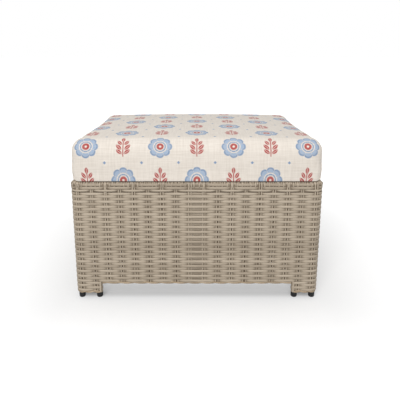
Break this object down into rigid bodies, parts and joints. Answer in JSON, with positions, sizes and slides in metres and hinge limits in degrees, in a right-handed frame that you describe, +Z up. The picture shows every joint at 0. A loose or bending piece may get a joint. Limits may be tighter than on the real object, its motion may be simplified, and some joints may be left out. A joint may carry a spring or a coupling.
{
  "type": "outdoor ottoman footstool",
  "caption": "Woven resin outdoor ottoman: tube frame on push-in glides, wicker walls, rim and deck, and a loose crowned cushion with a zipped cover.",
  "frame": {"origin": "on the floor, under the middle of the base", "axes": "+X to the right and +Z up, with the front facing -Y; the longest side is along X"},
  "size_m": [0.66, 0.5, 0.4483],
  "materials": {
    "wicker": "woven flat resin strand, satin, warm grey",
    "frame": "powder-coated aluminium tube, satin taupe",
    "glide": "black moulded plastic, satin",
    "fabric": "slubbed outdoor canvas, cream, with a printed pattern",
    "foam": "open-cell foam",
    "zip": "woven tape with moulded coil teeth",
    "slider": "die-cast zip slider, satin grey"
  },
  "bodies": {
    "base": {"apron_border_back": "wicker", "apron_border_front": "wicker", "apron_border_left": "wicker", "apron_border_right": "wicker", "apron_rail_back": "frame", "apron_rail_front": "frame", "apron_rail_left": "frame", "apron_rail_right": "frame", "corner_glide_back_left": "glide", "corner_glide_back_right": "glide", "corner_glide_front_left": "glide", "corner_glide_front_right": "glide", "corner_post_back_left": "frame", "corner_post_back_right": "frame", "corner_post_front_left": "frame", "corner_post_front_right": "frame", "deck_bar_left": "frame", "deck_bar_middle": "frame", "deck_bar_right": "frame", "leg_glide_back_left": "glide", "leg_glide_back_right": "glide", "leg_glide_front_left": "glide", "leg_glide_front_right": "glide", "leg_plate_back_left": "frame", "leg_plate_back_right": "frame", "leg_plate_front_left": "frame", "leg_plate_front_right": "frame", "leg_tube_back_left": "frame", "leg_tube_back_right": "frame", "leg_tube_front_left": "frame", "leg_tube_front_right": "frame", "middle_upright_back": "frame", "middle_upright_front": "frame", "side_leg_glide_back_left": "glide", "side_leg_glide_back_right": "glide", "side_leg_glide_front_left": "glide", "side_leg_glide_front_right": "glide", "side_leg_tube_back_left": "frame", "side_leg_tube_back_right": "frame", "side_leg_tube_front_left": "frame", "side_leg_tube_front_right": "frame", "top_rail_back": "frame", "top_rail_front": "frame", "top_rail_left": "frame", "top_rail_right": "frame", "wicker_rim_back": "wicker", "wicker_rim_front": "wicker", "wicker_rim_left": "wicker", "wicker_rim_right": "wicker", "wicker_wall_back": "wicker", "wicker_wall_front": "wicker", "wicker_wall_left": "wicker", "wicker_wall_right": "wicker", "woven_deck": "wicker"},
    "cushion": {"cushion_cover": "fabric", "cushion_foam": "foam", "zip_tape": "zip"},
    "slider": {"zip_slider": "slider"}
  },
  "joints": [
    {"name": "cushion_lift", "type": "slide", "parent": "base", "child": "cushion", "axis": [0, 0, 1], "range_m": [0, 0.2]},
    {"name": "zip_slide", "type": "slide", "parent": "cushion", "child": "slider", "axis": [1, 0, 0], "range_m": [0, 0.507]}
  ]
}
